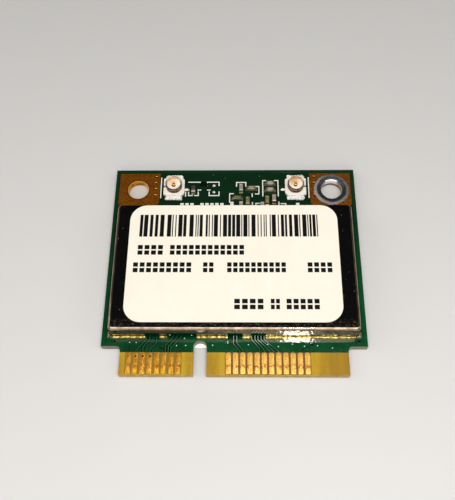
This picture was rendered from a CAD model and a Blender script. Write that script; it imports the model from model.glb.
# %% [markdown]
# # A wireless card for a laptop
# The real object is a green circuit board, 30 mm wide, with gold contacts in front, a folded
# metal can in the middle and two coaxial sockets behind it. Its shapes come from the CAD frame,
# so this lesson is about finishes, lamps and the small shapes that CAD leaves plain.
# We could model it all again by hand, but then nothing would promise that the sizes agree.
# Loading the frame first and measuring from it keeps every new piece in its place.

# %% Load the frame and measure it
import math

import bmesh
import bpy
from mathutils import Matrix, Vector, noise


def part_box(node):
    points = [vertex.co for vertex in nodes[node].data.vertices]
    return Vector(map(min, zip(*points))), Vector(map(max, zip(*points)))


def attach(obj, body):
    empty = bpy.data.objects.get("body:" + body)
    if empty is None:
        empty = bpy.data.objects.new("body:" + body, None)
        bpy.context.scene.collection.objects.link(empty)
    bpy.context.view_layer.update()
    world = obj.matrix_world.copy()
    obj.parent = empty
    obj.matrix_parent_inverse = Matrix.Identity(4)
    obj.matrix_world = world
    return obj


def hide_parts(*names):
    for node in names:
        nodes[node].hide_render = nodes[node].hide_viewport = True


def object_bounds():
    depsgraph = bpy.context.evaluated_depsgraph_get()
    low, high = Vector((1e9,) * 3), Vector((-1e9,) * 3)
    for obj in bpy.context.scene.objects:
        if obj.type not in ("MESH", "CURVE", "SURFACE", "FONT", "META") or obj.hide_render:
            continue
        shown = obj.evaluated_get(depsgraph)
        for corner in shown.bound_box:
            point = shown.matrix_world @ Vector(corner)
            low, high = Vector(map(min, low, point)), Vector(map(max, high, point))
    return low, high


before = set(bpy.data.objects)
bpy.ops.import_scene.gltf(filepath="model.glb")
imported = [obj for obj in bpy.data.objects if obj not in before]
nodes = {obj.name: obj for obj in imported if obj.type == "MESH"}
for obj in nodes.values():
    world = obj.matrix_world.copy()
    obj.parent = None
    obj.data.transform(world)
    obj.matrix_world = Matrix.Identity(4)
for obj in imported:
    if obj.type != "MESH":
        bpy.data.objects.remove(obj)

MM = 0.001
cad_low, cad_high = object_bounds()
print("card", [round(side / MM, 2) for side in cad_high - cad_low], "mm,", len(nodes), "nodes")

# %% [markdown]
# ## The camera
# A photograph fixes the place of its camera: corners, holes and contacts of known size only
# line up from one spot. That spot was worked out beforehand from the card's real size.
# The camera could be set by two angles and a distance, but its own three axes are more exact.
# Its near limit comes forward, because the card lies less than a tenth of a metre away.

# %% Place the camera
CAMERA_PLACE = Vector((0.970, -35.926, 75.898)) * MM
CAMERA_RIGHT = Vector((0.99977, 0.00924, -0.01936))
CAMERA_AHEAD = Vector((-0.02144, 0.45174, -0.89189))
CAMERA_LENS = 50.39
CAMERA_NEAR = 5 * MM

back = -CAMERA_AHEAD.normalized()
side = (CAMERA_RIGHT - back * CAMERA_RIGHT.dot(back)).normalized()
above = back.cross(side)
turn = Matrix((side, above, back)).transposed().to_4x4()
camera_data = bpy.data.cameras.new("camera")
camera_data.lens = CAMERA_LENS
camera_data.clip_start = CAMERA_NEAR
camera = bpy.data.objects.new("camera", camera_data)
camera.matrix_world = Matrix.Translation(CAMERA_PLACE) @ turn
bpy.context.scene.collection.objects.link(camera)
bpy.context.scene.camera = camera
distance = (CAMERA_PLACE - (cad_low + cad_high) / 2).length
print("camera", round(distance / MM, 1), "mm from the card")

# %% [markdown]
# ## Tools for finishes
# Screens show colours on a curve, and shaders add light on a straight line. One function turns a
# written colour into a linear one, so every colour below can be written as it looks.
# A finish is a small tree of nodes. One function adds a node with its settings and its links.
# Patterns come first and the shader last, and values that are even all over a surface sit on the
# shader's own sockets. Patterns that need several nodes have a function each: a colour that
# follows a value, a noise that is drawn out one way, and a band with soft edges.
# Pattern sizes are real sizes: a noise of scale 1 has features about one metre wide.

# %% Colour and node helpers
MIX_FACTOR, MIX_A, MIX_B, MIX_OUT = 0, 6, 7, 2


def linear(colour):
    """An sRGB hex colour as linear red, green, blue and alpha."""
    levels = [int(colour[i:i + 2], 16) / 255 for i in (1, 3, 5)]
    straight = [c / 12.92 if c <= 0.04045 else ((c + 0.055) / 1.055) ** 2.4 for c in levels]
    return (*straight, 1.0)


def add(tree, kind, values, out=0):
    """Add a node and hand back one of its outputs. What comes from another node is linked, an
    option of the node itself is set, and the rest fills its inputs, hex colours made linear."""
    node = tree.nodes.new("ShaderNode" + kind)
    for key, value in values.items():
        if isinstance(value, bpy.types.NodeSocket):
            tree.links.new(value, node.inputs[key])
        elif isinstance(key, str) and hasattr(node, key):
            setattr(node, key, value)
        else:
            node.inputs[key].default_value = linear(value) if isinstance(value, str) else value
    return node.outputs[out] if node.outputs else None


def new_finish(name):
    """An empty material, its tree, and the places in the part that its patterns need."""
    material = bpy.data.materials.new(name)
    material.use_nodes = True
    tree = material.node_tree
    tree.nodes.clear()
    return material, tree, add(tree, "TexCoord", {}, "Object")


def dress(tree, values):
    """Add the shader with its even values and its links, and lead it to the output."""
    add(tree, "OutputMaterial", {"Surface": add(tree, "BsdfPrincipled", values)})


def reopened(material):
    """The tree of a finish made earlier, its places, and the colour that its shader has so far."""
    tree = material.node_tree
    place = tree.nodes["Texture Coordinate"].outputs["Object"]
    return tree, place, tree.nodes["Principled BSDF"].inputs["Base Color"].links[0].from_socket


def recolour(tree, colour):
    """Lead a new colour to the shader of a finish."""
    tree.links.new(colour, tree.nodes["Principled BSDF"].inputs["Base Color"])


def give(material, *names):
    """Put a finish on CAD nodes."""
    for name in names:
        slots = nodes[name].data.materials
        slots.clear()
        slots.append(material)
    print(material.name, "on", ", ".join(names))


# %% Patterns made of several nodes
def per(size_mm):
    """Texture scale that gives features of about this size."""
    return 1 / (size_mm * MM)


def shaded(tree, value, low, high, first, second, start=0.0, end=1.0):
    """A colour that goes from the first to the second while a value goes from low to high."""
    share = add(tree, "MapRange", {"Value": value, "From Min": low, "From Max": high,
                                   "To Min": start, "To Max": end})
    return add(tree, "Mix", {"data_type": "RGBA", MIX_FACTOR: share, MIX_A: first, MIX_B: second},
               MIX_OUT)


def drawn_out(tree, place, size_mm, detail, stretch):
    """A noise with features of a real size, drawn out along the axes where stretch is below 1."""
    pulled = add(tree, "VectorMath", {"operation": "MULTIPLY", 0: place, 1: stretch})
    return add(tree, "TexNoise", {"Scale": per(size_mm), "Detail": detail, "Vector": pulled})


def within(tree, place, axis, middle_mm, half_mm, soft_mm):
    """One inside a band across an axis, falling to nought over a soft edge."""
    value = add(tree, "SeparateXYZ", {"Vector": place}, axis)
    away = add(tree, "Math", {"operation": "SUBTRACT", 0: value, 1: middle_mm * MM})
    away = add(tree, "Math", {"operation": "ABSOLUTE", 0: away})
    return add(tree, "MapRange", {
        "Value": away, "From Min": half_mm * MM, "From Max": (half_mm + soft_mm) * MM,
        "To Min": 1.0, "To Max": 0.0})


def inside(tree, place, *bands):
    """One inside several bands at once. Each is an axis, a middle, a half and a soft edge."""
    share = within(tree, place, *bands[0])
    for band in bands[1:]:
        also = within(tree, place, *band)
        share = add(tree, "Math", {"operation": "MULTIPLY", 0: share, 1: also})
    return share


# %% [markdown]
# ## Tools for shapes
# The small shapes are frozen drops of solder, turned rings, thin lines and rounded blocks. Each
# is made of rows of points in millimetres, joined by faces, and placed from the CAD's own boxes.
# Subdividing cubes by hand would give the same forms with less control over their real sizes.

# %% From rows of points to a piece
BOARD_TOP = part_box("shield_can")[0].z / MM
EDGE, BACK = cad_low.y / MM, cad_high.y / MM
SHARP_DEGREES = 40
CLOSED_BELOW = 0.2
WOBBLE_RATE, WOBBLE_STEP = 3, 0.7


def middle_of(name):
    """The middle of a CAD node in millimetres."""
    low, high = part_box(name)
    return (low + high) / 2 / MM


def new_piece(name, shape, material, slot, *stands_for):
    """Turn a mesh made in millimetres into a piece that rides on the card."""
    bmesh.ops.scale(shape, vec=(MM, MM, MM), verts=shape.verts)
    data = bpy.data.meshes.new(name)
    shape.to_mesh(data)
    shape.free()
    data.shade_smooth()
    data.set_sharp_from_angle(angle=math.radians(SHARP_DEGREES))
    data.materials.append(material)
    piece = bpy.data.objects.new(name, data)
    bpy.context.scene.collection.objects.link(piece)
    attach(piece, "root")
    if stands_for:
        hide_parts(*stands_for)
    print(name, len(data.polygons), "faces")


def skin(shape, rows, closed=False):
    """Join rows of points with faces, and close each row on itself where asked."""
    made = [[shape.verts.new(point) for point in row] for row in rows]
    for lower, upper in zip(made, made[1:]):
        for here in range(len(lower) if closed else len(lower) - 1):
            there = (here + 1) % len(lower)
            shape.faces.new((lower[here], lower[there], upper[there], upper[here]))
    return made


def turned(shape, x, y, profile, steps, wobble=0.0):
    """A turned form from points of radius and height. Wobble makes its radii uneven."""
    rows = []
    for number, (radius, height) in enumerate(profile):
        row = []
        for step in range(steps):
            angle = 2 * math.pi * step / steps
            across, along = math.cos(angle), math.sin(angle)
            uneven = wobble * noise.noise(Vector((
                across * WOBBLE_RATE + x, along * WOBBLE_RATE, number * WOBBLE_STEP)))
            row.append((x + across * (radius + uneven), y + along * (radius + uneven), height))
        rows.append(row)
    made = skin(shape, rows, closed=True)
    if profile[-1][0] < CLOSED_BELOW:
        shape.faces.new(made[-1])


# %% Drops, blocks and lines
DROP_RINGS, DROP_STEPS = 8, 24
DROP_CROWN, DROP_FLANK = 2.4, 0.6
SWELL_RATE, LUMP_RATE = 1.5, 2
MITRE_LIMIT = 0.3
LINE_FOOT = 0.005


def drop(shape, x, y, half_x, half_y, height, uneven, squareness=2.0, base=BOARD_TOP):
    """A frozen drop: steep at its foot, flat on top, and a little uneven."""
    rows = []
    for ring in range(DROP_RINGS, 0, -1):
        share = ring / DROP_RINGS
        row = []
        for step in range(DROP_STEPS):
            angle = 2 * math.pi * step / DROP_STEPS
            across, along = math.cos(angle), math.sin(angle)
            square = (abs(across) ** squareness + abs(along) ** squareness) ** (-1 / squareness)
            swell = noise.noise(Vector((across * SWELL_RATE + x, along * SWELL_RATE, y)))
            inner = share * LUMP_RATE
            lump = noise.noise(Vector((across * inner, along * inner, x + y)))
            edge = square * (1 + uneven * swell)
            lift = height * (1 + uneven * 2 * lump) * (1 - share ** DROP_CROWN) ** DROP_FLANK
            row.append((x + half_x * share * edge * across, y + half_y * share * edge * along,
                        base + lift))
        rows.append(row)
    made = skin(shape, rows, closed=True)
    shape.faces.new(made[-1])


def rounded_block(shape, low, high, radius):
    """A block between two corners with rounded edges."""
    corners = bmesh.ops.create_cube(shape, size=1.0)["verts"]
    middle = (Vector(low) + Vector(high)) / 2
    sides = Vector(high) - Vector(low)
    for corner in corners:
        corner.co = Vector(c * s for c, s in zip(corner.co, sides)) + middle
    edges = list({edge for corner in corners for edge in corner.link_edges})
    bmesh.ops.bevel(shape, geom=edges, offset=radius, segments=2, profile=0.5, affect="EDGES")


def line(shape, points, half, height):
    """A flat line on the board through points, with mitred bends, that high above the board."""
    path = [Vector(point) for point in points]
    runs = [(b - a).normalized() for a, b in zip(path, path[1:])]
    low, high = BOARD_TOP - LINE_FOOT, BOARD_TOP + height
    rows = []
    for point, a, b in zip(path, runs[:1] + runs, runs + runs[-1:]):
        across = Vector((-a.y - b.y, a.x + b.x)).normalized()
        reach = half / max(MITRE_LIMIT, across.dot(Vector((-a.y, a.x))))
        left, right = point + across * reach, point - across * reach
        rows.append([(*left, low), (*left, high), (*right, high), (*right, low)])
    skin(shape, rows)


# %% [markdown]
# ## Solder mask
# The board is coated with a green liquid ink, cured hard and glossy. Over copper it looks lighter
# and a little yellow, over bare laminate dark. The coat is thin, so the gloss shows tiny waves.
# A green plastic would look flat. Here a fine noise moves the colour, and a slow, very shallow one
# bends the gloss by about half a degree. The ridges over the copper lines are real shape in the
# CAD, so a lift in height lightens them. Behind the can no ground layer lies under the coating, so
# the tone sinks there, and a little towards the left too.

# %% Green mask
RIDGE_FOOT, RIDGE_CREST = 0.008, 0.02


def green_mask(name, copper, shade, ridge, behind):
    """Cured green coating with the grain of etched copper under it, and its tone behind the can."""
    material, tree, place = new_finish(name)
    grain = add(tree, "TexNoise", {"Scale": per(0.09), "Detail": 2.0, "Vector": place})
    patches = add(tree, "TexNoise", {"Scale": per(1.6), "Detail": 3.0, "Vector": place})
    waves = add(tree, "TexNoise", {"Scale": per(0.35), "Detail": 2.0, "Vector": place})
    tone = add(tree, "Math", {"operation": "MULTIPLY_ADD", 0: grain, 1: 0.6, 2: patches})
    east = add(tree, "SeparateXYZ", {"Vector": place}, "X")
    north, up = east.node.outputs["Y"], east.node.outputs["Z"]
    colour = shaded(tree, tone, 0.55, 1.05, shade, copper)
    colour = shaded(tree, up, (BOARD_TOP + RIDGE_FOOT) * MM, (BOARD_TOP + RIDGE_CREST) * MM,
                    colour, ridge)
    colour = shaded(tree, east, -14 * MM, 0.0, colour, behind, 0.4, 0.0)
    colour = shaded(tree, north, -4 * MM, 7 * MM, colour, behind, 0.0, 0.85)
    bump = add(tree, "Bump", {"Distance": 0.006 * MM, "Height": waves})
    dress(tree, {"Roughness": 0.03, "IOR": 1.5, "Specular IOR Level": 0.38,
                 "Base Color": colour, "Normal": bump})
    return material


over_copper = green_mask("solder_mask_over_copper", "#0a4e2a", "#03371c", "#13502c", "#011f0b")
over_laminate = green_mask(
    "solder_mask_over_laminate", "#08562c", "#04401f", "#08562c", "#022a12")
in_gaps = green_mask("solder_mask_between_lines", "#01140a", "#000a05", "#01140a", "#000a05")
in_openings = green_mask(
    "solder_mask_in_can_openings", "#03381b", "#012410", "#0a4826", "#011f0b")
over_vias = green_mask("solder_mask_over_vias", "#f0faf2", "#b8d0bc", "#f0faf2", "#5c7c62")
on_crests = green_mask("solder_mask_thin_on_lines", "#2c6846", "#205236", "#2a6444", "#011f0b")
give(over_copper, "solder_mask_top", "solder_mask_bottom")

# %% [markdown]
# ## Copper lines under the mask
# Between two copper lines, and all along the board's rim, there is no copper under the coating,
# so it looks nearly black there. The lines run from the can's front openings to the contacts.
# A painted pattern would need every distance in shader nodes. Thin dark lines laid on the coating,
# four thousandths of a millimetre thick, are simpler, and they follow the same bends. Four dark
# strips lie under the lines in the can's openings, where the ground layer stops short too. On the
# crest of a line the coating is thin, so a narrow pale line lies there, palest beside the can.

# %% Gaps beside the lines, and their crests
CONTACT_PITCH, CONTACT_HALF, BARE_TAB = 0.8, 0.3, 2.6
LINE_HALF, GAP_HALF, GAP_HEIGHT = 0.075, 0.05, 0.004
CREST_HALF, CREST_HEIGHT = 0.03, 0.023
LEAST_SLANT = 1.2
CAN_FRONT_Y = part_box("shield_can")[0].y / MM
FIRST_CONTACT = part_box("edge_contacts_top_left")[0].x / MM + CONTACT_HALF
# each line's X at the can, how far from the front edge it bends, and which contact it runs to
LINE_ROUTES = (
    (-9.9, 4.1, 1), (-9.5, 4.05, 2), (-8.72, 3.73, 3), (-6.85, 4.4, 5.15), (-6.4, 4.4, 5.55),
    (-5.95, 4.4, 5.9), (-0.04, 3.57, 15.6), (0.32, 3.7, 16.05), (2.0, 4.1, 18.3),
    (2.37, 4.1, 19.05), (2.7, 4.1, 19.8), (3.05, 4.1, 20.4), (3.4, 4.1, 21),
)

gaps, crests = bmesh.new(), bmesh.new()
for x, bend, contact in LINE_ROUTES:
    foot = FIRST_CONTACT + contact * CONTACT_PITCH
    landing = max(bend - LEAST_SLANT * abs(foot - x), BARE_TAB + 0.1)
    for side in (-1, 0, 1):
        shift = side * (LINE_HALF + GAP_HALF)
        route = [(x + shift, CAN_FRONT_Y + 0.1), (x + shift, EDGE + bend),
                 (foot + shift, EDGE + landing), (foot + shift, EDGE + BARE_TAB + 0.03)]
        if side:
            line(gaps, route, GAP_HALF, GAP_HEIGHT)
        else:
            line(crests, route, CREST_HALF, CREST_HEIGHT)
new_piece("mask_gaps_beside_lines", gaps, in_gaps, "solder_mask")

tree, place, colour = reopened(on_crests)
east = add(tree, "SeparateXYZ", {"Vector": place}, "X")
right_part = add(tree, "MapRange", {"Value": east, "From Min": -2 * MM, "From Max": 0.0})
colour = shaded(tree, east.node.outputs["Y"], (CAN_FRONT_Y - 1.2) * MM,
                (CAN_FRONT_Y - 0.2) * MM, colour, "#b4cab8", 0.0, right_part)
recolour(tree, colour)
new_piece("mask_thin_on_lines", crests, on_crests, "solder_mask")

# %% Mask in the can's openings and along the rim
CAN_OPENINGS = ((-10.04, -8.44), (-7.56, -4.23), (-0.7, 0.96), (1.92, 3.58))
OPENING_IN, OPENING_HALF = 0.22, 0.27
FLAT_HEIGHT = 0.003
HALF_CARD, HALF_TAB, SHOULDER = cad_high.x / MM, 12.8, EDGE + 3.3
RIM_INSET, RIM_EDGE = 0.19, 0.01
NOTCH_X, NOTCH_HALF, NOTCH_DEPTH = -3.8, 0.75, 3.95
NOTCH_RIM_R, NOTCH_RIM_HALF = NOTCH_HALF + 0.12, 0.09

openings = bmesh.new()
for start, end in CAN_OPENINGS:
    y = CAN_FRONT_Y + OPENING_IN
    line(openings, [(start, y), (end, y)], OPENING_HALF, FLAT_HEIGHT)
new_piece("mask_in_can_openings", openings, in_openings, "solder_mask")

rim = bmesh.new()
tab_x, card_x, shoulder_y = HALF_TAB - RIM_INSET, HALF_CARD - RIM_INSET, SHOULDER + RIM_INSET
line(rim, [(-tab_x, EDGE + BARE_TAB), (-tab_x, shoulder_y), (-card_x, shoulder_y),
           (-card_x, BACK - RIM_INSET), (card_x, BACK - RIM_INSET), (card_x, shoulder_y),
           (tab_x, shoulder_y), (tab_x, EDGE + BARE_TAB)], RIM_INSET - RIM_EDGE, FLAT_HEIGHT)
notch_y = EDGE + NOTCH_DEPTH - NOTCH_HALF
arc = []
for degrees in range(180, -1, -15):
    angle = math.radians(degrees)
    arc.append((NOTCH_X + NOTCH_RIM_R * math.cos(angle), notch_y + NOTCH_RIM_R * math.sin(angle)))
line(rim, [(arc[0][0], EDGE + BARE_TAB), *arc, (arc[-1][0], EDGE + BARE_TAB)],
     NOTCH_RIM_HALF, FLAT_HEIGHT)
new_piece("mask_rim_without_copper", rim, over_laminate, "solder_mask")

# %% Coated through holes, and marks in the coating
# each hole's X, and how far it lies behind the front edge
VIAS = (
    (-11.76, 3.76), (-11.01, 3.73), (-7.26, 4.62), (-5.59, 4.23), (-4.8, 4.62), (-6.45, 3.38),
    (-5.42, 3.38), (-2.4, 3.42), (-0.69, 3.87), (-0.69, 3.69), (1.64, 3.49), (3.79, 3.55),
    (4.98, 3.29), (7.9, 3.32), (9.36, 3.4), (11.01, 3.13), (8.61, 3.7), (6.56, 3.58),
    (-2.7, 26.1), (-1.2, 25.6), (3.1, 25.9),
)
FRONT_PART = 5
VIA_R, BACK_VIA_R, VIA_HEIGHT = 0.068, 0.05, 0.035
MARK_HEIGHT, STROKE_HALF = 0.005, 0.03
RING_MARKS = ((-13.5, 3.87), (14.07, 3.87), (-11.76, 3.76), (8.77, 3.5))

vias = bmesh.new()
for x, y in VIAS:
    size = VIA_R if y < FRONT_PART else BACK_VIA_R
    drop(vias, x, EDGE + y, size, size, VIA_HEIGHT, 0.3)
new_piece("mask_over_through_holes", vias, over_vias, "solder_mask")

marks = bmesh.new()
line(marks, [(-8.44, EDGE + 3.22), (-8.2, EDGE + 3.1), (-7.91, EDGE + 2.95)], 0.07, MARK_HEIGHT)
line(marks, [(-11.76, EDGE + 3.68), (-11.76, EDGE + 2.62)], STROKE_HALF, MARK_HEIGHT)
line(marks, [(8.7, EDGE + 3.45), (7.25, EDGE + 2.7)], STROKE_HALF, MARK_HEIGHT)
for x, y in VIAS:
    if y < FRONT_PART:
        drop(marks, x + 0.02, EDGE + y - 0.1, 0.09, 0.08, 0.006, 0.3)
for x, y in RING_MARKS:
    turned(marks, x, EDGE + y, [(0.2, BOARD_TOP), (0.18, BOARD_TOP + 0.008),
                                (0.12, BOARD_TOP + 0.008), (0.1, BOARD_TOP)], 20, 0.03)
new_piece("mask_marks", marks, in_gaps, "solder_mask")

# %% [markdown]
# ## Glass laminate
# The board itself is woven glass in epoxy. Bare, at the contact tab, it is mustard yellow with a
# faint weave and slow stripes along the threads, and it is duller at the tab's right end.
# The weave could be modelled thread by thread, but it lies under clear resin and only shows as a
# faint grid. Two crossed wave patterns with the real thread spacing of 0.45 mm are enough.
# Between the contacts the resin is stained brown, so soft boxes of colour lie there. The routed
# walls of the shoulders and the notch are grey and rough, and the bevelled front edge is tan.

# %% Bare laminate
THREAD_MM = 0.45
WAVE_UNIT = 6.28
STAINS = (("edge_contacts_top_left", "#93701c"), ("edge_contacts_top_right", "#7c5216"))

laminate, tree, place = new_finish("bare_glass_laminate")
warp, weft = [add(tree, "TexWave", {
    "bands_direction": direction, "Scale": per(THREAD_MM) / WAVE_UNIT, "Distortion": 1.6,
    "Detail": 1.0, "Vector": place}, "Fac") for direction in ("X", "Y")]
weave = add(tree, "Math", {"operation": "MULTIPLY", 0: warp, 1: weft})
stripes = drawn_out(tree, place, 0.9, 3.0, (1.0, 0.12, 1.0))
tone = add(tree, "Math", {"operation": "MULTIPLY_ADD", 0: weave, 1: 0.08, 2: stripes})
east = add(tree, "SeparateXYZ", {"Vector": place}, "X")
resin = shaded(tree, tone, 0.38, 0.66, "#a8800e", "#bd9a1c")
resin = shaded(tree, east, 9.2 * MM, 11 * MM, resin, "#8e680e", 0.0, 0.6)

grain = add(tree, "TexNoise", {"Scale": per(0.5), "Detail": 3.0, "Vector": place})
grey = shaded(tree, grain, 0.35, 0.65, "#6f6b5c", "#86806c")
tan = shaded(tree, grain, 0.35, 0.65, "#9c7c40", "#bc9c60")
at_front = within(tree, place, "Y", EDGE, 1.0, 0.6)
sawn = shaded(tree, at_front, 0.0, 1.0, grey, tan)
facing = add(tree, "NewGeometry", {}, "Normal")
level = add(tree, "SeparateXYZ", {"Vector": facing}, "Z")
level = add(tree, "Math", {"operation": "ABSOLUTE", 0: level})
flat = add(tree, "MapRange", {"Value": level, "From Min": 0.2, "From Max": 0.8})
colour = shaded(tree, flat, 0.0, 1.0, sawn, resin)
for row, stain in STAINS:
    low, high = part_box(row)
    middle, half = middle_of(row), (high - low) / 2 / MM
    soaked = inside(tree, place, ("X", middle.x, half.x, 0.15), ("Y", middle.y, half.y, 0.08),
                    ("Z", BOARD_TOP, 0.06, 0.02))
    colour = shaded(tree, soaked, 0.0, 1.0, colour, stain, 0.0, flat)
bump = add(tree, "Bump", {"Distance": 0.003 * MM, "Height": weave})
dress(tree, {"Roughness": 0.4, "IOR": 1.45, "Specular IOR Level": 0.3, "Base Color": colour,
             "Normal": bump})
give(laminate, "circuit_board")

# %% [markdown]
# ## Gold
# Gold lies on this card in several states. The edge contacts are hard plated and rubbed by their
# connector, so they carry fine streaks along the push direction, small bright pits and a brown
# touch mark. The right row's matt skin scatters light, which takes it below full metal. The
# can's land and the sockets' pins are bright. The ground pads have a thin coat that has gone
# brown, and the left bore is bright only near its mouth.
# One gold with a few roughnesses would miss the streaks and the brown, so each has its own tree.

# %% Gold finishes
def gold(name, bright, dull, roughness, spot_mm, stretch=(1.0, 1.0, 1.0), metal=1.0):
    """Plated gold: a bright and a dull tone mixed by spots that may be drawn out along Y."""
    material, tree, place = new_finish(name)
    spots = drawn_out(tree, place, spot_mm, 4.0, stretch)
    rough = add(tree, "MapRange", {"Value": spots, "From Min": 0.4, "From Max": 0.62,
                                   "To Min": roughness, "To Max": roughness + 0.15})
    bump = add(tree, "Bump", {"Distance": 0.002 * MM, "Height": spots})
    dress(tree, {"Metallic": metal, "Base Color": shaded(tree, spots, 0.4, 0.62, bright, dull),
                 "Roughness": rough, "Normal": bump})
    return material


def contact_gold(name, bright, dull, touch_y, touch_tone, pit_share, metal):
    """Rubbed contact gold with a brown touch mark across the row and small pits."""
    material = gold(name, bright, dull, 0.32, 0.2, (1.0, 0.35, 1.0), metal)
    tree, place, colour = reopened(material)
    smear = drawn_out(tree, place, 0.24, 3.0, (1.0, 0.7, 1.0))
    pits = add(tree, "TexNoise", {"Scale": per(0.09), "Detail": 2.0, "Vector": place})
    dirt = add(tree, "TexNoise", {"Scale": per(0.1), "Detail": 3.0, "Vector": place})
    at_touch = within(tree, place, "Y", EDGE + touch_y, 0.05, 0.4)
    polish = add(tree, "MapRange", {"Value": smear, "From Min": 0.42, "From Max": 0.6,
                                    "To Min": 0.55, "To Max": 0.25})
    colour = shaded(tree, smear, 0.42, 0.6, colour, touch_tone, 0.0, at_touch)
    colour = shaded(tree, pits, 0.62 - pit_share, 0.68 - pit_share, colour, "#ffe0a8", 0.0, polish)
    recolour(tree, shaded(tree, dirt, 0.54, 0.62, colour, touch_tone, 0.0, 0.7))
    return material


left_gold = contact_gold(
    "hard_gold_rubbed_left", "#e4a834", "#b47e1c", 1.04, "#965412", 0.03, 1.0)
right_gold = contact_gold(
    "hard_gold_rubbed_right", "#ffd068", "#f4b84c", 0.95, "#a46014", 0.05, 0.7)
land_gold = gold("immersion_gold_bright", "#dcc666", "#6a480e", 0.24, 0.36)
brown_gold = gold("immersion_gold_browned", "#a4621a", "#784410", 0.42, 0.22)
pin_gold = gold("pin_gold", "#ffc95c", "#e0a030", 0.14, 0.2)
bore_gold = gold("immersion_gold_in_a_bore", "#e6a436", "#a06c20", 0.3, 0.9)
tree, place, colour = reopened(bore_gold)
up = add(tree, "SeparateXYZ", {"Vector": place}, "Z")
recolour(tree, shaded(tree, up, (BOARD_TOP - 0.2) * MM, (BOARD_TOP - 0.08) * MM, colour, "#ffbe3c"))
give(left_gold, "edge_contacts_bottom_left", "edge_contacts_bottom_right")
give(land_gold, "shield_land")
give(bore_gold, "hole_barrel_left")
give(pin_gold, "antenna_socket_pin_left", "antenna_socket_pin_right")
give(brown_gold, "ground_pad_top_left", "ground_pad_top_right", "ground_pad_bottom_left",
     "ground_pad_bottom_right", "test_pads_bottom")

# %% [markdown]
# ## Edge contacts
# A contact is a gold strip with a round far end and soft rims, because plating builds up there.
# A chamfered block has the right size, but its rims catch no light. Here each strip is a rounded
# outline in four steps: foot, side, rim and top, so the rim turns the light.

# %% Contact strips with soft rims
CONTACT_START, CONTACT_THICK = 0.12, 0.018
NEAR_ROUND, CORNER_STEPS = 0.13, 6
STRIP_STEPS = ((0.0, -0.04), (0.0, 0.0), (0.012, 0.012), (0.05, CONTACT_THICK))
# the burnt spots on the first contacts: how far across, and how large
BURNT_SPOTS, BURNT_UP = ((-0.06, 0.8), (0.02, 1.1), (0.0, 1.3), (0.04, 1.2)), 2.13


def outline(x, half, near, far, round_far):
    """A strip's outline with its own rounding at the far end."""
    points = []
    for sign, y, radius, start in ((1, near, NEAR_ROUND, -90), (1, far, round_far, 0),
                                   (-1, far, round_far, 90), (-1, near, NEAR_ROUND, 180)):
        inward = 1 if y == near else -1
        for step in range(CORNER_STEPS + 1):
            angle = math.radians(start + 90 * step / CORNER_STEPS)
            points.append((x + sign * (half - radius) + radius * math.cos(angle),
                           y + inward * radius + radius * math.sin(angle)))
    return points


def contact_strips(name, material, count, first, round_far):
    """A row of contact strips."""
    shape = bmesh.new()
    for number in range(count):
        x = FIRST_CONTACT + (first + number) * CONTACT_PITCH
        rows = []
        for inward, height in STRIP_STEPS:
            points = outline(x, CONTACT_HALF - inward, EDGE + CONTACT_START + inward,
                             EDGE + BARE_TAB - inward, round_far)
            rows.append([(px, py, BOARD_TOP + height) for px, py in points])
        made = skin(shape, rows, closed=True)
        shape.faces.new(made[-1])
    new_piece(name + "_strips", shape, material, "contact_gold", name)


contact_strips("edge_contacts_top_left", left_gold, 8, 0, 0.08)
contact_strips("edge_contacts_top_right", right_gold, 12, 14, 0.24)

burn = gold("gold_burnt_brown", "#3a2008", "#1c0e04", 0.5, 0.1)
spots = bmesh.new()
for number, (across, size) in enumerate(BURNT_SPOTS):
    x = FIRST_CONTACT + number * CONTACT_PITCH + across
    drop(spots, x, EDGE + BURNT_UP, 0.12 * size, 0.07 * size, 0.004, 0.5,
         base=BOARD_TOP + CONTACT_THICK)
new_piece("contact_burnt_spots", spots, burn, "contact_gold")

# %% [markdown]
# ## Solder and tin
# Solder freezes with a satin skin: nearly white where it catches the light, grey elsewhere.
# A mirror would be too clean. Medium roughness with a slow noise gives the frozen look.
# The ring of tin round the right hole has dulled to a middle grey, with a black, speckled slope
# inside it. The tin that ran down the bore ends half way, and at the far side of the mouth it
# stands in a small bright lip. The ring is rubbed lighter on its left.

# %% Solder finishes
def tin(name, light, dark, roughness, grain_mm, depth_mm=0.006, metal=1.0):
    """Frozen solder or plated tin. A frosted skin scatters light, so it is below full metal."""
    material, tree, place = new_finish(name)
    frost = add(tree, "TexNoise", {"Scale": per(grain_mm), "Detail": 3.0, "Vector": place})
    rough = add(tree, "MapRange", {"Value": frost, "From Min": 0.3, "From Max": 0.7,
                                   "To Min": roughness + 0.08, "To Max": roughness - 0.05})
    bump = add(tree, "Bump", {"Distance": depth_mm * MM, "Height": frost})
    dress(tree, {"Metallic": metal, "Base Color": shaded(tree, frost, 0.35, 0.65, dark, light),
                 "Roughness": rough, "Normal": bump})
    return material


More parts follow.
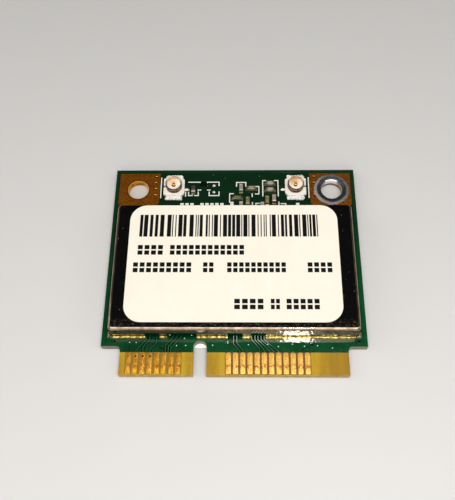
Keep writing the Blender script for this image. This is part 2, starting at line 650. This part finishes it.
solder = tin("frozen_solder", "#fffffc", "#f6f2e8", 0.3, 0.14, 0.006, 0.12)
dull_solder = tin("dull_solder", "#c9c2b4", "#75705f", 0.34, 0.12)
plated_tin = tin("plated_tin", "#e6ddd0", "#a89c8c", 0.32, 0.08)
olive_tin = tin("tin_with_green_cast", "#b4b084", "#4a4c2c", 0.3, 0.1, 0.006, 0.7)
pink_tin = tin("tin_with_pink_cast", "#d9bfae", "#9a8478", 0.34, 0.1)
copper_tin = tin("tin_with_copper_cast", "#e0a688", "#a06c50", 0.34, 0.1)
pale_tin = tin("tin_with_pale_skin", "#f4f2e8", "#8e927c", 0.3, 0.1, 0.006, 0.6)
dark_tin = tin("tin_in_deep_shade", "#1e1616", "#0a0808", 0.4, 0.1, 0.004, 0.4)
ring_tin = tin("dulled_ring_tin", "#8a8885", "#585653", 0.42, 0.12, 0.012, 0.4)
slope_tin = tin("black_ring_slope", "#70747a", "#020303", 0.34, 0.1, 0.018, 0.9)
lip_tin = tin("bright_tin_lip", "#fffffc", "#f4f0e6", 0.3, 0.2, 0.003, 0.2)
land_tin = tin("dulled_land_tin", "#565a3c", "#23281a", 0.4, 0.12)
give(dull_solder, "inner_part_joints", "chip_joints")
give(plated_tin, "inner_capacitor_ends", "inner_resistor_ends", "inductor_ends")
give(land_tin, "part_lands")

right_hole, left_hole = middle_of("hole_barrel_right"), middle_of("hole_barrel_left")
low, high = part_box("hole_barrel_right")
hole_r = (high.x - low.x) / 2 / MM
bore_tin, tree, place = new_finish("tin_run_down_a_bore")
at_middle = within(tree, place, "X", right_hole.x, 0.45, 0.5)
tinned = shaded(tree, at_middle, 0.0, 1.0, "#9c8468", "#fffefc")
up = add(tree, "SeparateXYZ", {"Vector": place}, "Z")
colour = shaded(tree, up, 0.3 * MM, 0.5 * MM, "#6a4628", tinned)
waves = add(tree, "TexNoise", {"Scale": per(0.4), "Detail": 3.0, "Vector": place})
bump = add(tree, "Bump", {"Distance": 0.006 * MM, "Height": waves})
dress(tree, {"Metallic": 0.1, "Roughness": 0.3, "Base Color": colour, "Normal": bump})
give(bore_tin, "hole_barrel_right")

# %% Ring of tin round the right hole
# radius and height above the board, from the foot of the band to the mouth of the hole
BAND = ((2.22, -0.005), (2.17, 0.05), (2.08, 0.09), (1.98, 0.11), (1.9, 0.12), (1.82, 0.115))
SLOPE = ((1.9, 0.117), (1.78, 0.116), (1.62, 0.1), (1.45, 0.07), (1.36, 0.03),
         (hole_r - 0.01, 0.0))
RING_STEPS, LIP_STEPS, LIP_HALF_TURN = 64, 24, 32


def above_board(profile):
    """A profile with its heights counted from the board's top."""
    return [(radius, BOARD_TOP + height) for radius, height in profile]


tree, place, colour = reopened(ring_tin)
east = add(tree, "SeparateXYZ", {"Vector": place}, "X")
recolour(tree, shaded(tree, east, (right_hole.x - 2.0) * MM, (right_hole.x - 0.6) * MM, colour,
                      "#c9c6bf", 0.45, 0.0))
band, slope = bmesh.new(), bmesh.new()
turned(band, right_hole.x, right_hole.y, above_board(BAND), RING_STEPS, 0.1)
turned(slope, right_hole.x, right_hole.y, above_board(SLOPE), RING_STEPS, 0.05)
new_piece("tinned_ring_band", band, ring_tin, "solder", "tinned_ring")
new_piece("tinned_ring_slope", slope, slope_tin, "solder", "tinned_ring")

lip, rows = bmesh.new(), []
for step in range(LIP_STEPS + 1):
    share = step / (LIP_STEPS / 2) - 1
    thick = 1 - share ** 2
    angle = math.radians(90 - LIP_HALF_TURN * share)
    profile = ((hole_r + 0.1, 0.066), (hole_r + 0.07, 0.058 + 0.022 * thick),
               (hole_r + 0.01, 0.036 + 0.024 * thick), (hole_r - 0.04, 0.02 * thick),
               (hole_r - 0.06 - 0.02 * thick, -0.06), (hole_r - 0.055, -0.18))
    rows.append([(right_hole.x + radius * math.cos(angle), right_hole.y + radius * math.sin(angle),
                  height) for radius, height in above_board(profile)])
skin(lip, rows)
new_piece("tin_lip_of_the_bore", lip, lip_tin, "solder")

# %% [markdown]
# ## Ground pads
# A column of four plated through holes joins each pad to the ground layer: a small bright lip
# over a dark bore. The left hole has a red brown line where the coating stops short.
# Holes cut in the CAD would add little but facets, so flat drops of the two tones lie on the pads.

# %% Plated through holes in the pads
PAD_HOLE_X, PAD_HOLE_IN, PAD_HOLE_PITCH, PAD_HOLE_COUNT = 9.94, 0.97, 0.9, 4

lips, bores = bmesh.new(), bmesh.new()
for sign in (-1, 1):
    for number in range(PAD_HOLE_COUNT):
        x, y = sign * PAD_HOLE_X, BACK - PAD_HOLE_IN - number * PAD_HOLE_PITCH
        drop(lips, x + 0.02, y + 0.06, 0.17, 0.07, 0.03, 0.3)
        drop(bores, x, y - 0.05, 0.18, 0.13, 0.008, 0.3)
turned(bores, left_hole.x, left_hole.y, above_board((
    (hole_r + 0.09, 0.0), (hole_r + 0.06, 0.004), (hole_r + 0.01, 0.004))), 48, 0.02)
lip_gold = gold("rubbed_lip_of_a_hole", "#ffc47c", "#b87434", 0.34, 0.1, metal=0.5)
browned = gold("browned_hole_rim", "#4a1d08", "#2c1004", 0.5, 0.2)
new_piece("pad_through_hole_lips", lips, lip_gold, "dull_gold")
new_piece("pad_browned_rims", bores, browned, "dull_gold")

# %% [markdown]
# ## Shield can, film and label
# The can is bright rolled nickel silver, so it mirrors the board in front of it. Its roof carries a
# black plastic film, matt and dusty, and on that lies a paper label.
# A mirror needs something to show, and here the board and the lamps do that, so the metal's own
# tree stays simple: fine lines from the rolling mill and a little tarnish. Along its foot the flux
# has left a brown stain, gold and solder stand in a thin bead on the land, and the corners are
# held by a few drops of solder.

# %% Nickel silver
can_metal, tree, place = new_finish("rolled_nickel_silver")
lines = drawn_out(tree, place, 0.05, 3.0, (0.06, 1.0, 1.0))
tarnish = add(tree, "TexNoise", {"Scale": per(1.1), "Detail": 3.0, "Vector": place})
colour = shaded(tree, tarnish, 0.35, 0.65, "#b8a28a", "#8a7763")
rough = add(tree, "MapRange", {"Value": lines, "From Min": 0.3, "From Max": 0.7,
                               "To Min": 0.03, "To Max": 0.09})
bump = add(tree, "Bump", {"Distance": 0.0003 * MM, "Height": lines})
dress(tree, {"Metallic": 1.0, "Base Color": colour, "Roughness": rough, "Normal": bump})
give(can_metal, "shield_can", "crystal_lid")

# %% Stain along the can's foot, and the gold bead on the land in front of it
# the stretches of the can's front wall between its openings
WALL_STRETCHES = ((-13.7, -10.06), (-8.42, -7.58), (-4.21, -0.72), (0.98, 1.9), (3.6, 13.7))
STRETCH_STEP = 0.12
# the bead's section: how far along the land's width, and how high
BEAD = ((0.85, 0.058), (0.6, 0.056), (0.4, 0.046), (0.22, 0.028), (0.08, 0.012), (0.0, -0.008))

low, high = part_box("shield_land")
land_y, land_z = low.y / MM, high.z / MM
reach = CAN_FRONT_Y - land_y
print("the land stands", round(reach, 3), "mm out in front of the can")
stain, bead = bmesh.new(), bmesh.new()
for start, end in WALL_STRETCHES:
    count = int((end - start) / STRETCH_STEP)
    stain_rows, bead_rows = [], []
    for step in range(count + 1):
        x = start + (end - start) * step / count
        lump = 1 + 0.9 * noise.noise(Vector((x * 1.7, 0.0, 3.0)))
        slack = 0.04 + 0.05 * noise.noise(Vector((x * 2.6, 5.0, 0.0)))
        tall = 0.38 + 0.2 * noise.noise(Vector((x * 1.1, 9.0, 0.0)))
        stain_rows.append([(x, CAN_FRONT_Y + 0.01, BOARD_TOP + tall),
                           (x, CAN_FRONT_Y - 0.006, BOARD_TOP + tall * 0.8),
                           (x, CAN_FRONT_Y - 0.012, BOARD_TOP)])
        bead_rows.append([(x, land_y + slack + reach * share, land_z + height * lump)
                          for share, height in BEAD])
    skin(stain, stain_rows)
    skin(bead, bead_rows)
stained = gold("stained_foot_of_the_can", "#8a5e1a", "#1c1206", 0.34, 0.45, (0.5, 1.0, 1.0))
new_piece("shield_can_foot_stain", stain, stained, "dull_gold")
new_piece("shield_land_bead", bead, land_gold, "dull_gold")

# %% Solder at the can's corners
low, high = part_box("shield_can")
corner_drops = bmesh.new()
for x, outward in ((low.x / MM, -1), (high.x / MM, 1)):
    for y, away in ((low.y / MM, -1), (high.y / MM, 1)):
        drop(corner_drops, x + outward * 0.08, y - away * 0.12, 0.2, 0.36, 0.27, 0.3, 3.0)
        drop(corner_drops, x - outward * 0.12, y + away * 0.04, 0.2, 0.14, 0.16, 0.3, 3.0)
new_piece("shield_corner_drops", corner_drops, dull_solder, "solder", "shield_solder")

# %% Dusty black film
SPECK_SPACING, SPECK_CHANCE = 0.4, 0.72

film, tree, place = new_finish("matt_black_film")
haze = add(tree, "TexNoise", {"Scale": per(2.5), "Detail": 4.0, "Vector": place})
grit = add(tree, "TexNoise", {"Scale": per(0.1), "Detail": 3.0, "Vector": place})
fuzz = add(tree, "TexNoise", {"Scale": per(0.06), "Detail": 2.0, "Vector": place})
smear = drawn_out(tree, place, 0.2, 5.0, (0.6, 1.0, 1.0))
front_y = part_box("shield_film")[0].y / MM
at_front = within(tree, place, "Y", front_y + 0.3, 0.3, 0.5)
dust = add(tree, "TexVoronoi", {"Scale": per(SPECK_SPACING), "Vector": place}, "Distance")
chance = add(tree, "SeparateColor", {"Color": dust.node.outputs["Color"]}, "Red")
some = add(tree, "Math", {"operation": "GREATER_THAN", 0: chance, 1: SPECK_CHANCE})
colour = shaded(tree, haze, 0.0, 1.0, "#010101", "#080707")
colour = shaded(tree, smear, 0.5, 0.66, colour, "#40372f", 0.0, at_front)
colour = shaded(tree, grit, 0.58, 0.7, colour, "#3a332e", 0.0, 0.25)
colour = shaded(tree, dust, 0.06, 0.14, colour, "#8f857b", some, 0.0)
rough = add(tree, "MapRange", {"Value": haze, "From Min": 0.3, "From Max": 0.7,
                               "To Min": 0.5, "To Max": 0.7})
bump = add(tree, "Bump", {"Distance": 0.003 * MM, "Height": fuzz})
dress(tree, {"IOR": 1.46, "Specular IOR Level": 0.05, "Base Color": colour, "Roughness": rough,
             "Normal": bump})
give(film, "shield_film")

# %% Coated paper and its ink
paper, tree, place = new_finish("coated_label_paper")
fibre = add(tree, "TexNoise", {"Scale": per(0.12), "Detail": 4.0, "Vector": place})
mottle = add(tree, "TexNoise", {"Scale": per(2.2), "Detail": 3.0, "Vector": place})
tone = add(tree, "Math", {"operation": "MULTIPLY_ADD", 0: fibre, 1: 0.5, 2: mottle})
colour = shaded(tree, tone, 0.5, 1.0, "#f8efdc", "#fbf4e4")
bump = add(tree, "Bump", {"Distance": 0.003 * MM, "Height": fibre})
dress(tree, {"Roughness": 0.6, "IOR": 1.45, "Specular IOR Level": 0.25, "Base Color": colour,
             "Normal": bump})
give(paper, "label")

ink, tree, place = new_finish("thermal_transfer_ink")
wear = add(tree, "TexNoise", {"Scale": per(0.1), "Detail": 3.0, "Vector": place})
colour = shaded(tree, wear, 0.0, 1.0, "#020202", "#0b0a0a")
dress(tree, {"Roughness": 0.5, "Specular IOR Level": 0.15, "Base Color": colour})
give(ink, "label_barcode", "label_rows")

# %% [markdown]
# ## Plastics, ceramics and print
# The sockets' bases are moulded from a cream heat proof plastic. The chip parts are ceramic, and
# the chips under the can are black epoxy. The print on the board is white ink with soft edges.
# The polished inside of a socket's ring throws warm light on the far side of its boss.
# All of them are dull, so the shape has to carry them. A fine noise keeps each from looking flat.

# %% Dull finishes
def dull(name, light, dark, roughness, grain_mm, shine=0.5):
    """A dull material with a fine change of tone and a fine bump."""
    material, tree, place = new_finish(name)
    grain = add(tree, "TexNoise", {"Scale": per(grain_mm), "Detail": 3.0, "Vector": place})
    bump = add(tree, "Bump", {"Distance": 0.004 * MM, "Height": grain})
    dress(tree, {"Roughness": roughness, "IOR": 1.5, "Specular IOR Level": shine,
                 "Base Color": shaded(tree, grain, 0.3, 0.7, dark, light), "Normal": bump})
    return material


plastic = dull("heat_proof_plastic", "#fffcf4", "#fcf2e2", 0.4, 0.25)
tree, place, colour = reopened(plastic)
for word, tone in (("left", "#ecccaa"), ("right", "#d6a970")):
    middle = middle_of("antenna_socket_base_" + word)
    warm = inside(tree, place, ("X", middle.x - 0.2, 0.25, 0.6), ("Y", middle.y + 0.55, 0.2, 0.7),
                  ("Z", BOARD_TOP + 0.9, 0.3, 0.1))
    colour = shaded(tree, warm, 0.0, 1.0, colour, tone)
recolour(tree, colour)
give(plastic, "antenna_socket_base_left", "antenna_socket_base_right")
give(dull("screen_printed_ink", "#fffef4", "#e2e2d4", 0.55, 0.08), "board_print")
give(dull("moulded_epoxy", "#262627", "#1b1b1c", 0.6, 0.06), "radio_chip", "memory_chip",
     "regulator_chip", "amplifier_chip_left", "amplifier_chip_right", "antenna_switch_chip")
give(dull("pressed_ferrite", "#34343a", "#25252a", 0.7, 0.08), "inductor_cores")
give(dull("crystal_tray_ceramic", "#8c8272", "#6f675b", 0.55, 0.08), "crystal_tray")
grey_ceramic = dull("grey_ceramic", "#a39a90", "#776e66", 0.35, 0.08)
give(grey_ceramic, "inner_capacitor_bodies")
black_glass = dull("black_resistor_glass", "#050405", "#010101", 0.5, 0.1, 0.1)
give(black_glass, "inner_resistor_bodies")

# %% [markdown]
# ## Small parts on the strip
# Behind the can stand about a dozen chip parts, a millimetre long. Their ceramic bodies differ in
# tone by their value, and their tinned ends stand a little proud and are drawn round by solder.
# The CAD has them as plain blocks of the right size. Each is made again here with round edges,
# its own tones and hollow slopes of solder, because at this size the highlights are all one sees.

# %% Measures of the parts
plum_ceramic = dull("plum_ceramic", "#5c4248", "#382428", 0.35, 0.1)
tan_ceramic = dull("tan_ceramic", "#ab9f90", "#857868", 0.35, 0.1)
pale_ceramic = dull("pale_ceramic", "#b6afa2", "#8c857a", 0.3, 0.1)
olive_glass = dull("olive_resistor_glass", "#a0a05c", "#0e1608", 0.25, 0.1)
# each part's X, its distance from the back edge, whether it lies along X, whether it is a
# resistor, and the finishes of its body, its far end, its near end and the near end's solder
STRIP_PARTS = (
    (-5.18, 2.9, False, False, plum_ceramic, dark_tin, pale_tin, olive_tin),
    (0.79, 2.75, False, False, grey_ceramic, pink_tin, pale_tin, olive_tin),
    (2.08, 2.85, True, False, tan_ceramic, olive_tin, olive_tin, olive_tin),
    (0.33, 4.2, True, True, olive_glass, olive_tin, olive_tin, olive_tin),
    (1.62, 4.6, False, True, olive_glass, olive_tin, plated_tin, olive_tin),
    (4.42, 2.12, True, False, pale_ceramic, olive_tin, olive_tin, olive_tin),
    (4.42, 3.05, True, False, pale_ceramic, olive_tin, olive_tin, olive_tin),
    (4.04, 4.45, False, True, olive_glass, olive_tin, copper_tin, copper_tin),
    (4.89, 4.3, False, False, tan_ceramic, pink_tin, pale_tin, copper_tin),
    (0.79, 5.3, False, False, tan_ceramic, plated_tin, copper_tin, copper_tin),
    (3.43, 5.36, False, False, pale_ceramic, pink_tin, pale_tin, pale_tin),
    (-3.9, 2.12, True, True, black_glass, black_glass, black_glass, black_glass),
)
PART_HALF, PART_HALF_WIDE, SMALL_SCALE = 0.5, 0.25, 0.8
CAPACITOR_TALL, CAPACITOR_END, RESISTOR_TALL, RESISTOR_END = 0.45, 0.22, 0.34, 0.2
LIFT_OFF_BOARD, BODY_ROUND, END_ROUND = 0.01, 0.03, 0.055
SLOPE_STEPS, SLOPE_SIDE_STEPS, SLOPE_REACH = 6, 3, 0.22
BARE_LANDS = ((-2.6, 2.35), (-2.6, 3.3))
STANDS_FOR = {
    "bodies": ("strip_capacitor_bodies", "strip_resistor_bodies"),
    "ends": ("strip_capacitor_ends", "strip_resistor_ends"),
    "joints": ("strip_part_joints",),
    "drops": ("bare_land_domes",),
}
SLOTS = {"bodies": "capacitor_ceramic", "ends": "plated_end", "joints": "solder",
         "drops": "solder"}
print(len(STRIP_PARTS), "chip parts and", len(BARE_LANDS), "bare lands on the strip")

# %% Bodies, ends and solder of each part
shapes = {}


def shape_for(kind, material):
    """The mesh that collects all shapes of one kind and finish."""
    return shapes.setdefault((kind, material.name), (bmesh.new(), material))[0]


def along(x, y, is_along_x, a0, a1, half, z0, z1):
    """Two corners of a block given along a part's own length."""
    if is_along_x:
        return (x + a0, y - half, z0), (x + a1, y + half, z1)
    return (x - half, y + a0, z0), (x + half, y + a1, z1)


def solder_slope(shape, x, y, is_along_x, sign, start, reach, half, tall):
    """A hollow slope of solder from a part's end down to its land."""
    rows = []
    for step in range(SLOPE_STEPS + 1):
        share = step / SLOPE_STEPS
        uneven = 1 + 0.25 * noise.noise(Vector((x * 3, y * 3, share * 2)))
        out = start + (reach * uneven) * share
        row = []
        for side_step in range(-SLOPE_SIDE_STEPS, SLOPE_SIDE_STEPS + 1):
            side_share = side_step / SLOPE_SIDE_STEPS
            lift = tall * (1 - share) ** 1.8 * (1 - 0.6 * side_share ** 4)
            if abs(side_step) == SLOPE_SIDE_STEPS:
                lift *= 0.3
            a, b = sign * out, side_share * half * (1 - 0.2 * share)
            point = (x + a, y + b) if is_along_x else (x - b, y + a)
            row.append((*point, BOARD_TOP + lift))
        rows.append(row)
    skin(shape, rows)


foot_z = BOARD_TOP + LIFT_OFF_BOARD
for x, from_back, is_along_x, is_resistor, body, far_end, near_end, near_slope in STRIP_PARTS:
    scale = SMALL_SCALE if body is black_glass else 1.0
    y = BACK - from_back
    half, wide = PART_HALF * scale, PART_HALF_WIDE * scale
    tall = (RESISTOR_TALL if is_resistor else CAPACITOR_TALL) * scale
    end = (RESISTOR_END if is_resistor else CAPACITOR_END) * scale
    low, high = along(x, y, is_along_x, -half + end * 0.6, half - end * 0.6, wide - 0.02, foot_z,
                      BOARD_TOP + tall - 0.015)
    rounded_block(shape_for("bodies", body), low, high, BODY_ROUND)
    near_side = 1 if is_along_x else -1
    for sign, finish, slope_finish in ((near_side, near_end, near_slope),
                                       (-near_side, far_end, far_end)):
        a0, a1 = sorted((sign * half, sign * (half - end)))
        low, high = along(x, y, is_along_x, a0, a1, wide, foot_z, BOARD_TOP + tall)
        rounded_block(shape_for("ends", finish), low, high, END_ROUND * scale)
        solder_slope(shape_for("joints", slope_finish), x, y, is_along_x, sign, half - 0.03,
                     SLOPE_REACH * scale, wide + 0.02, tall * 0.75)
for x, from_back in BARE_LANDS:
    drop(shape_for("drops", solder), x, BACK - from_back + 0.02, 0.19, 0.14, 0.13, 0.35)
for (kind, finish), (shape, material) in shapes.items():
    new_piece("strip_" + kind + "_in_" + finish, shape, material, SLOTS[kind], *STANDS_FOR[kind])

# %% [markdown]
# ## Antenna sockets
# A socket is a turned ring of plated brass round a plastic boss with a gold pin. The plug grips a
# groove half way up the ring. The lip is bright from use, and the groove has tarnished.
# The base is soldered down by two feet, and the solder stands up in bright lumps along them.
# One colour for the ring would hide the groove, so lip and groove are turned as two pieces.

# %% Rings, feet and solder of the sockets
# radius and height above the board, down the inside of the ring and round its lip, then outside
LIP = ((0.875, 0.36), (0.875, 1.1), (0.89, 1.17), (0.93, 1.2))
GROOVE = ((0.93, 1.2), (0.97, 1.19), (1.0, 1.14), (1.0, 1.0), (0.965, 0.93), (0.93, 0.85),
          (0.93, 0.68), (0.965, 0.58), (1.0, 0.52), (1.0, 0.34))
# radius and depth below the pin's top
PIN_TIP = ((0.22, 0.4), (0.22, 0.09), (0.18, 0.03), (0.08, 0.0), (0.01, 0.0))
STAIN_Z = 0.82
FOOT_HALF, FOOT_IN, FOOT_OUT, FOOT_TALL, FOOT_ROUND = 0.95, 1.25, 1.5, 0.12, 0.03
FOOT_DROP_COUNT, FOOT_DROP_PITCH, TAIL_X = 5, 0.4, 1.56

lip_metal = tin("rubbed_ring_lip", "#f4dcb8", "#c49c74", 0.2, 0.3, 0.002)
groove_metal = tin("tarnished_ring_groove", "#9a8068", "#4a3826", 0.2, 0.35, 0.003)
foot_drops, tips, shades = bmesh.new(), bmesh.new(), bmesh.new()
for word, inward in (("left", 1), ("right", -1)):
    x, y = middle_of("antenna_socket_base_" + word).xy
    shell = "antenna_socket_shell_" + word
    lip, groove, feet = bmesh.new(), bmesh.new(), bmesh.new()
    turned(lip, x, y, above_board(LIP), RING_STEPS)
    new_piece("antenna_socket_lip_" + word, lip, lip_metal, "socket_shell", shell)
    turned(groove, x, y, above_board(GROOVE), RING_STEPS)
    new_piece("antenna_socket_groove_" + word, groove, groove_metal, "socket_shell", shell)
    pin_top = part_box("antenna_socket_pin_" + word)[1].z / MM
    turned(tips, x, y, [(radius, pin_top - depth) for radius, depth in PIN_TIP], 24)
    drop(shades, x - 0.02, y - 0.13, 0.25, 0.23, 0.006, 0.2, base=BOARD_TOP + STAIN_Z)
    for sign in (-1, 1):
        y0, y1 = sorted((y + sign * FOOT_IN, y + sign * FOOT_OUT))
        rounded_block(feet, (x - FOOT_HALF, y0, BOARD_TOP),
                      (x + FOOT_HALF, y1, BOARD_TOP + FOOT_TALL), FOOT_ROUND)
        for number in range(FOOT_DROP_COUNT):
            shift = (number - FOOT_DROP_COUNT // 2) * FOOT_DROP_PITCH
            drop(foot_drops, x + shift, y + sign * FOOT_OUT, 0.3, 0.3, 0.22, 0.4, 2.5)
    new_piece("antenna_socket_feet_" + word, feet, plated_tin, "socket_shell", shell)
    drop(foot_drops, x + inward * TAIL_X, y - 0.3, 0.33, 0.17, 0.16, 0.35)
new_piece("antenna_socket_drops", foot_drops, solder, "solder", "antenna_socket_solder")
new_piece("antenna_socket_pin_stains", shades, browned, "socket_plastic")
new_piece("antenna_socket_pin_tips", tips, pin_gold, "contact_gold",
          "antenna_socket_pin_left", "antenna_socket_pin_right")

# %% [markdown]
# ## Floor and lamps
# The floor is plain and pale, and a little light comes up through the notch. A wide soft box
# hangs in front of and above the card, lower ones stand in front and at the sides, and the air
# behind stays dim, so that black film and dark green keep their depth. What a flat surface mirrors
# lies high behind the card: two small boxes hang there for the gold contacts. A small flash burns
# just beside the camera, with a wider, weak glow round it. The can's wall and the board stand
# square to each other, and such a corner throws light back to where it came from, so the flash
# makes the white glints in front of the can. Each lamp is set so that a colour looks as written;
# more light would only wash the card out.

# %% Floor
FLOOR_HALF = 0.6
FLOOR_NEAR, FLOOR_FAR = -40 * MM, 45 * MM
NOTCH_GLOW = 0.55

floor_data = bpy.data.meshes.new("floor")
corners = [(-1, -1), (1, -1), (1, 1), (-1, 1)]
floor_data.from_pydata([(x * FLOOR_HALF, y * FLOOR_HALF, cad_low.z) for x, y in corners],
                       [], [(0, 1, 2, 3)])
floor = bpy.data.objects.new("floor", floor_data)
bpy.context.scene.collection.objects.link(floor)
table_top, tree, place = new_finish("pale_table")
mottle = add(tree, "TexNoise", {"Scale": per(9.0), "Detail": 2.0, "Vector": place})
north = add(tree, "SeparateXYZ", {"Vector": place}, "Y")
near_tone = shaded(tree, mottle, 0.0, 1.0, "#e2e0dd", "#e6e4e1")
colour = shaded(tree, north, FLOOR_NEAR, FLOOR_FAR, near_tone, "#c9c7c4")
under_notch = inside(tree, place, ("X", NOTCH_X - 0.05, NOTCH_HALF, 0.1),
                     ("Y", EDGE + 3.78, 0.28, 0.06))
glow = add(tree, "Math", {"operation": "MULTIPLY", 0: under_notch, 1: NOTCH_GLOW})
dress(tree, {"Roughness": 0.8, "Base Color": colour, "Emission Color": "#fff6dc",
             "Emission Strength": glow})
floor.data.materials.append(table_top)
print("floor at", cad_low.z)

# %% Lamps
def soft_box(name, place_mm, width_mm, height_mm, watts, aim_mm):
    """A rectangular lamp that looks at a point of the card."""
    data = bpy.data.lights.new(name, "AREA")
    data.shape = "RECTANGLE"
    data.size = width_mm * MM
    data.size_y = height_mm * MM
    data.energy = watts
    ray = Vector(aim_mm) - Vector(place_mm)
    lamp = bpy.data.objects.new(name, data)
    lamp.location = Vector(place_mm) * MM
    lamp.rotation_euler = ray.to_track_quat("-Z", "Y").to_euler()
    bpy.context.scene.collection.objects.link(lamp)
    share = watts / (math.pi * ray.length * MM) ** 2
    print(name, "gives a white sheet", round(share, 2), "of full white")


CARD_TOP, CAN_CORNER = (0, 0, 1), (8, -9, 1)
soft_box("overhead_box", (0, -110, 480), 560, 360, 1.5, CARD_TOP)
soft_box("contact_box_right", (50, 107, 480), 150, 66, 0.09, (50, 107, 0))
soft_box("contact_box_left", (-95, 108, 480), 140, 64, 0.022, (-95, 108, 0))
soft_box("front_box", (-40, -330, 200), 360, 200, 0.42, CARD_TOP)
soft_box("left_box", (-340, 20, 220), 260, 220, 0.25, CARD_TOP)
soft_box("right_box", (340, -40, 240), 260, 220, 0.25, CARD_TOP)
soft_box("flash_by_the_camera", (13.3, -35.8, 76), 6, 2.1, 0.0075, CAN_CORNER)
soft_box("glow_by_the_camera", (13, -35.8, 76), 40, 5, 0.0046, CAN_CORNER)

# %% Air round the card
ROOM_STRENGTH, WHITE_STRENGTH = 0.5, 1.0

world = bpy.data.worlds.new("room")
world.use_nodes = True
bpy.context.scene.world = world
tree = world.node_tree
tree.nodes.clear()
seen = add(tree, "LightPath", {}, "Is Camera Ray")
room = add(tree, "Background", {"Color": "#8c8884", "Strength": ROOM_STRENGTH})
white = add(tree, "Background", {"Color": "#e9e7e4", "Strength": WHITE_STRENGTH})
add(tree, "OutputWorld", {"Surface": add(tree, "MixShader", {0: seen, 1: room, 2: white})})
print("the room lights the card with", ROOM_STRENGTH, "of its grey")

# %% [markdown]
# ## Last step
# The standard view keeps every colour as it is written. The sizes of the CAD model and of the
# dressed model are written side by side, so that they can be compared.

# %% Finish
bpy.context.scene.view_settings.view_transform = "Standard"
